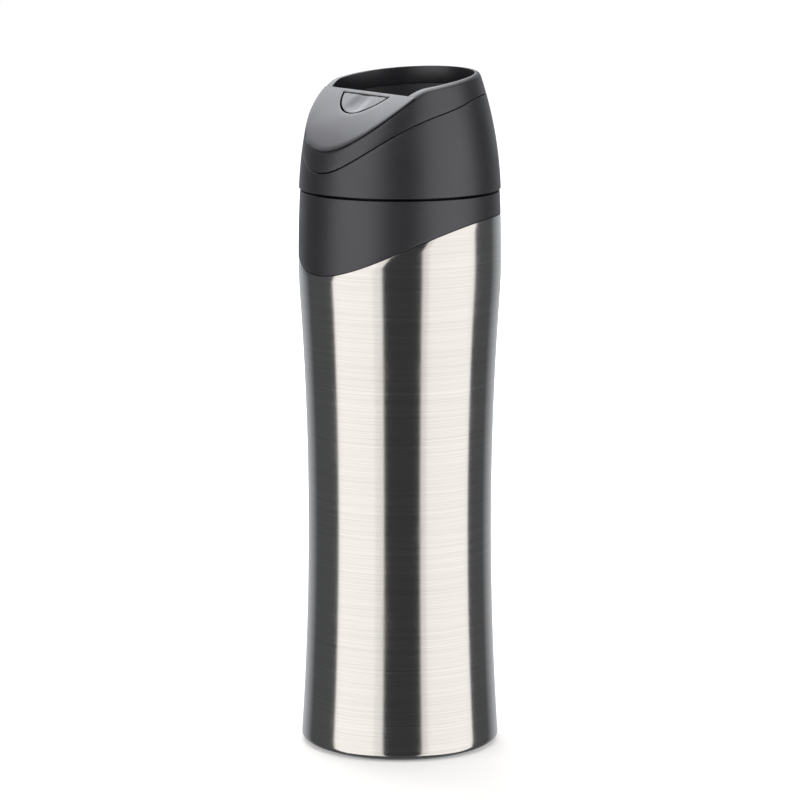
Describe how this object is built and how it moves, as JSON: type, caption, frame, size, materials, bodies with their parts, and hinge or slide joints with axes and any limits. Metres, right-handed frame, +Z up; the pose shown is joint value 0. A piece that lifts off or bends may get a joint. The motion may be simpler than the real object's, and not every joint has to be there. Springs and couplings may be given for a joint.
{
  "type": "insulated travel mug",
  "caption": "Slim waisted double-wall travel mug with a screw lid; a thumb button at the front rocks a stopper off the drinking hole.",
  "frame": {"origin": "centre of the base, on the surface the mug stands on", "axes": "+Z up along the body's axis, -Y towards the thumb pad and button, +Y towards the side one drinks from, +X to the right of someone facing the pad"},
  "size_m": [0.069, 0.069, 0.2315],
  "materials": {
    "shell_steel": "fine horizontal brushing",
    "base_steel": "brushed",
    "base_rubber": "matte",
    "liner_steel": "satin",
    "foam": "open-cell foam",
    "collar_plastic": "fine matte texture",
    "silicone": "translucent grey silicone",
    "skirt_plastic": "fine matte texture",
    "plug_plastic": "semi-matte",
    "fastener_steel": "bright",
    "cap_plastic": "fine matte texture",
    "deck_plastic": "satin",
    "button_plastic": "satin",
    "arm_plastic": "semi-matte"
  },
  "bodies": {
    "mug": {"outer_shell": "shell_steel", "base_plate": "base_steel", "base_pad": "base_rubber", "inner_liner": "liner_steel", "insulation_sleeve": "foam", "liner_cushion": "foam", "collar": "collar_plastic", "liner_gasket": "silicone"},
    "seal_ring": {"lid_gasket": "silicone"},
    "lid": {"lid_skirt": "skirt_plastic", "lid_plug": "plug_plastic", "lid_screws": "fastener_steel", "lid_cap": "cap_plastic", "drink_deck": "deck_plastic", "spout_seal": "silicone", "vent_tube": "fastener_steel", "return_spring": "fastener_steel", "hinge_pin": "fastener_steel"},
    "rocker": {"push_button": "button_plastic", "rocker_arm": "arm_plastic", "stopper": "silicone", "vent_seal": "silicone"}
  },
  "joints": [
    {"name": "lid_rise", "type": "slide", "parent": "mug", "child": "seal_ring", "axis": [0, 0, 1], "range_m": [0, 0.036]},
    {"name": "lid_turn", "type": "hinge", "parent": "seal_ring", "child": "lid", "pos_m": [0, 0, 0.185], "axis": [0, 0, 1], "range_deg": [0, 1080]},
    {"name": "button_rock", "type": "hinge", "parent": "lid", "child": "rocker", "pos_m": [0, -0.0095, 0.22], "axis": [1, 0, 0], "range_deg": [0, 10], "stiffness_Nm_per_rad": 0.1, "springref_deg": -11.46, "deforming": ["return_spring"]}
  ],
  "couplings": [
    {"joint": "lid_rise", "follows": "lid_turn", "m_per_rad": 0.0019099}
  ]
}
